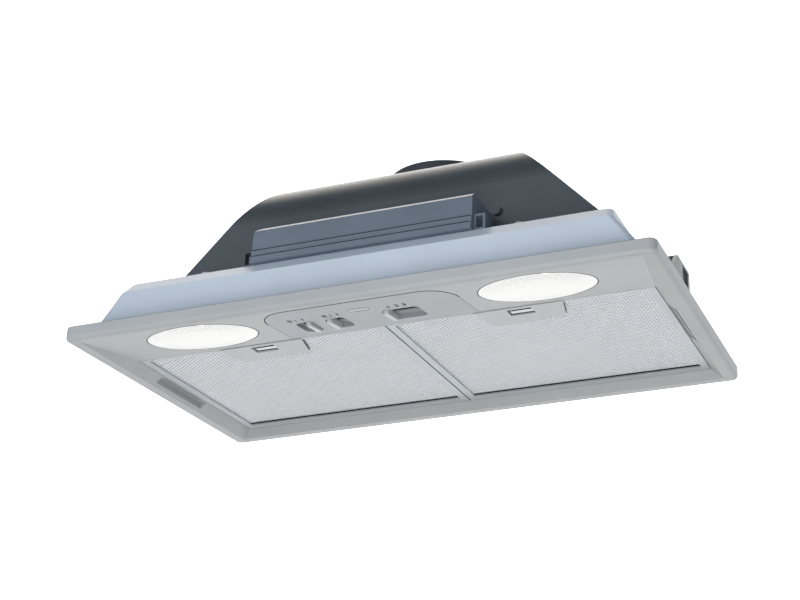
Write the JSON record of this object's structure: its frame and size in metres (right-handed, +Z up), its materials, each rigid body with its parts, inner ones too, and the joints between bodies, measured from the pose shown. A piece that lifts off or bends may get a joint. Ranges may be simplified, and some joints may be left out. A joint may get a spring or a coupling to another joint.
{
  "type": "range hood",
  "caption": "Built-in canopy range hood with a sloping control strip, oval lamps, grease filters, a blower housing and a round duct outlet.",
  "frame": {"origin": "under the middle of the hood, on the plane of the rim's underside", "axes": "+X to the right seen from the front, +Y to the rear, +Z up towards the duct"},
  "size_m": [0.524, 0.292, 0.204],
  "materials": {
    "canopy_plastic": "satin",
    "skirt_paint": "satin",
    "fascia_plastic": "satin",
    "knob_plastic": "satin",
    "switch_plastic": "matte",
    "pilot_lens": "gloss",
    "opal_plastic": "satin",
    "bowl_plastic": "gloss",
    "bulb_glass": "frosted",
    "holder_plastic": "matte",
    "filter_aluminium": "satin",
    "mesh_aluminium": "satin",
    "grip_plastic": "satin",
    "housing_plastic": "satin",
    "box_plastic": "satin",
    "clip_steel": "satin",
    "terminal_plastic": "matte",
    "capacitor_plastic": "satin",
    "collar_plastic": "satin",
    "flap_plastic": "satin",
    "pin_steel": "satin",
    "casing_steel": "satin",
    "wheel_plastic": "matte",
    "motor_steel": "satin",
    "support_plastic": "satin",
    "gland_rubber": "matte"
  },
  "bodies": {
    "hood": {"canopy": "canopy_plastic", "skirt": "skirt_paint", "control_fascia": "fascia_plastic", "light_switch": "switch_plastic", "motor_switch": "switch_plastic", "speed_switch": "switch_plastic", "pilot_lamp_lens": "pilot_lens", "lamp_bowl_left": "bowl_plastic", "lamp_bulb_left": "bulb_glass", "lamp_holder_left": "holder_plastic", "box_clip_left": "clip_steel", "blower_casing_left": "casing_steel", "side_support_pin_left": "pin_steel", "lamp_bowl_right": "bowl_plastic", "lamp_bulb_right": "bulb_glass", "lamp_holder_right": "holder_plastic", "box_clip_right": "clip_steel", "blower_casing_right": "casing_steel", "side_support_pin_right": "pin_steel", "motor_housing": "housing_plastic", "electrics_box": "box_plastic", "electrics_box_cover": "box_plastic", "terminal_block": "terminal_plastic", "capacitor": "capacitor_plastic", "outlet_collar": "collar_plastic", "flap_pin": "pin_steel", "motor": "motor_steel", "motor_bracket": "casing_steel", "deck_screws": "pin_steel", "cable_gland": "gland_rubber"},
    "light_knob": {"light_knob": "knob_plastic"},
    "motor_knob": {"motor_knob": "knob_plastic"},
    "speed_knob": {"speed_knob": "knob_plastic"},
    "filter_left": {"filter_frame_left": "filter_aluminium", "filter_mesh_left": "mesh_aluminium", "filter_handle_left": "grip_plastic"},
    "latch_left": {"filter_latch_left": "grip_plastic"},
    "lamp_cover_left": {"lamp_cover_left": "opal_plastic"},
    "side_support_left": {"side_support_left": "support_plastic"},
    "filter_right": {"filter_frame_right": "filter_aluminium", "filter_mesh_right": "mesh_aluminium", "filter_handle_right": "grip_plastic"},
    "latch_right": {"filter_latch_right": "grip_plastic"},
    "lamp_cover_right": {"lamp_cover_right": "opal_plastic"},
    "side_support_right": {"side_support_right": "support_plastic"},
    "rotor": {"impeller": "wheel_plastic", "motor_shaft": "pin_steel"},
    "flap_front": {"flap_front": "flap_plastic"},
    "flap_rear": {"flap_rear": "flap_plastic"}
  },
  "joints": [
    {"name": "light_slide", "type": "slide", "parent": "hood", "child": "light_knob", "axis": [1, 0, 0], "range_m": [-0.008, 0]},
    {"name": "motor_slide", "type": "slide", "parent": "hood", "child": "motor_knob", "axis": [1, 0, 0], "range_m": [0, 0.01]},
    {"name": "speed_slide", "type": "slide", "parent": "hood", "child": "speed_knob", "axis": [1, 0, 0], "range_m": [0, 0.021]},
    {"name": "filter_hinge_left", "type": "hinge", "parent": "hood", "child": "filter_left", "pos_m": [-0.12, 0.128, 0.008], "axis": [1, 0, 0], "range_deg": [0, 75]},
    {"name": "latch_slide_left", "type": "slide", "parent": "filter_left", "child": "latch_left", "axis": [0, 1, 0], "range_m": [0, 0.0045], "stiffness_N_per_m": 200},
    {"name": "lamp_cover_hinge_left", "type": "hinge", "parent": "hood", "child": "lamp_cover_left", "pos_m": [-0.102, -0.1052, 0.0038], "axis": [0, -0.9941, -0.1082], "range_deg": [0, 60]},
    {"name": "side_support_hinge_left", "type": "hinge", "parent": "hood", "child": "side_support_left", "pos_m": [-0.2486, -0.017, 0.016], "axis": [0, 1, 0], "range_deg": [0, 12], "stiffness_Nm_per_rad": 0.5},
    {"name": "filter_hinge_right", "type": "hinge", "parent": "hood", "child": "filter_right", "pos_m": [0.12, 0.128, 0.008], "axis": [1, 0, 0], "range_deg": [0, 75]},
    {"name": "latch_slide_right", "type": "slide", "parent": "filter_right", "child": "latch_right", "axis": [0, 1, 0], "range_m": [0, 0.0045], "stiffness_N_per_m": 200},
    {"name": "lamp_cover_hinge_right", "type": "hinge", "parent": "hood", "child": "lamp_cover_right", "pos_m": [0.102, -0.1052, 0.0038], "axis": [0, 0.9941, 0.1082], "range_deg": [0, 60]},
    {"name": "side_support_hinge_right", "type": "hinge", "parent": "hood", "child": "side_support_right", "pos_m": [0.2486, -0.017, 0.016], "axis": [0, -1, 0], "range_deg": [0, 12], "stiffness_Nm_per_rad": 0.5},
    {"name": "impeller_spin", "type": "hinge", "parent": "hood", "child": "rotor", "pos_m": [0, 0.01, 0.096], "axis": [1, 0, 0], "continuous": true},
    {"name": "flap_front_hinge", "type": "hinge", "parent": "hood", "child": "flap_front", "pos_m": [0, 0.059, 0.1865], "axis": [-1, 0, 0], "range_deg": [0, 75]},
    {"name": "flap_rear_hinge", "type": "hinge", "parent": "hood", "child": "flap_rear", "pos_m": [0, 0.059, 0.1865], "axis": [1, 0, 0], "range_deg": [0, 75]}
  ]
}
